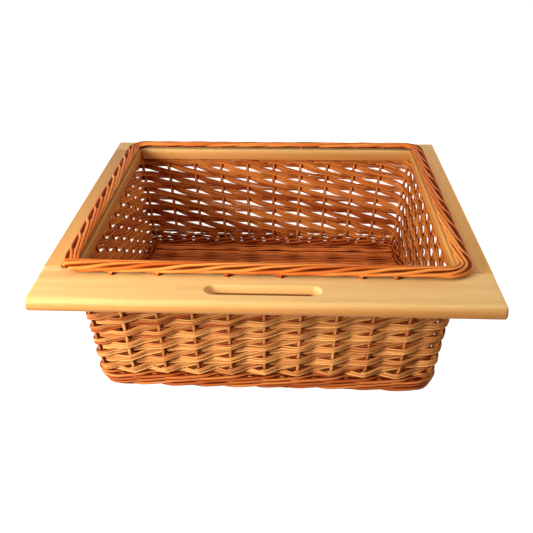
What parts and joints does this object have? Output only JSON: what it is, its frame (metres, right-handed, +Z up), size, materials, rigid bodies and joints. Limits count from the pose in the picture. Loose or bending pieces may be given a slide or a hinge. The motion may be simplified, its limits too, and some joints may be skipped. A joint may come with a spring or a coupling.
{
  "type": "pull-out storage basket",
  "caption": "Woven willow basket with sloping walls, hung in a flat beech frame with a finger groove in its front rail and a twisted border on top; slides in a cabinet like a drawer",
  "frame": {"origin": "middle of the frame's outline in plan, at the level of the basket's underside", "axes": "+Z up, front rail with the finger groove towards -Y, +X to the right of someone who faces the front"},
  "size_m": [0.46, 0.48, 0.1598],
  "materials": {
    "beech": "clear lacquered beech, satin",
    "dowel": "raw beech",
    "willow_pale": "lacquered peeled willow, pale tan",
    "willow_red": "lacquered willow, red-brown",
    "willow_border": "lacquered willow, orange"
  },
  "bodies": {
    "root": {"front_rail": "beech", "back_rail": "beech", "left_rail": "beech", "right_rail": "beech", "dowel_front_left_1": "dowel", "dowel_front_left_2": "dowel", "dowel_back_left_1": "dowel", "dowel_back_left_2": "dowel", "dowel_front_right_1": "dowel", "dowel_front_right_2": "dowel", "dowel_back_right_1": "dowel", "dowel_back_right_2": "dowel", "base_and_stakes": "willow_pale", "wale_strand_1": "willow_red", "wale_strand_2": "willow_red", "wale_strand_3": "willow_red", "weaver_01": "willow_pale", "weaver_02": "willow_pale", "weaver_03": "willow_pale", "weaver_04": "willow_pale", "weaver_05": "willow_pale", "weaver_06": "willow_pale", "weaver_07": "willow_pale", "weaver_08": "willow_pale", "weaver_09": "willow_pale", "weaver_10": "willow_pale", "weaver_11": "willow_pale", "weaver_12": "willow_pale", "weaver_13": "willow_pale", "weaver_14": "willow_pale", "weaver_15": "willow_pale", "weaver_16": "willow_pale", "weaver_17": "willow_pale", "weaver_18": "willow_pale", "weaver_19": "willow_pale", "weaver_20": "willow_pale", "weaver_21": "willow_pale", "weaver_22": "willow_pale", "weaver_23": "willow_pale", "weaver_24": "willow_pale", "weaver_25": "willow_pale", "weaver_26": "willow_pale", "weaver_27": "willow_pale", "weaver_28": "willow_pale", "weaver_29": "willow_pale", "weaver_30": "willow_pale", "weaver_31": "willow_pale", "weaver_32": "willow_pale", "weaver_33": "willow_pale", "weaver_34": "willow_pale", "weaver_35": "willow_pale", "weaver_36": "willow_pale", "weaver_37": "willow_pale", "weaver_38": "willow_pale", "weaver_39": "willow_pale", "weaver_40": "willow_pale", "weaver_41": "willow_pale", "weaver_42": "willow_pale", "border": "willow_border"}
  },
  "joints": []
}
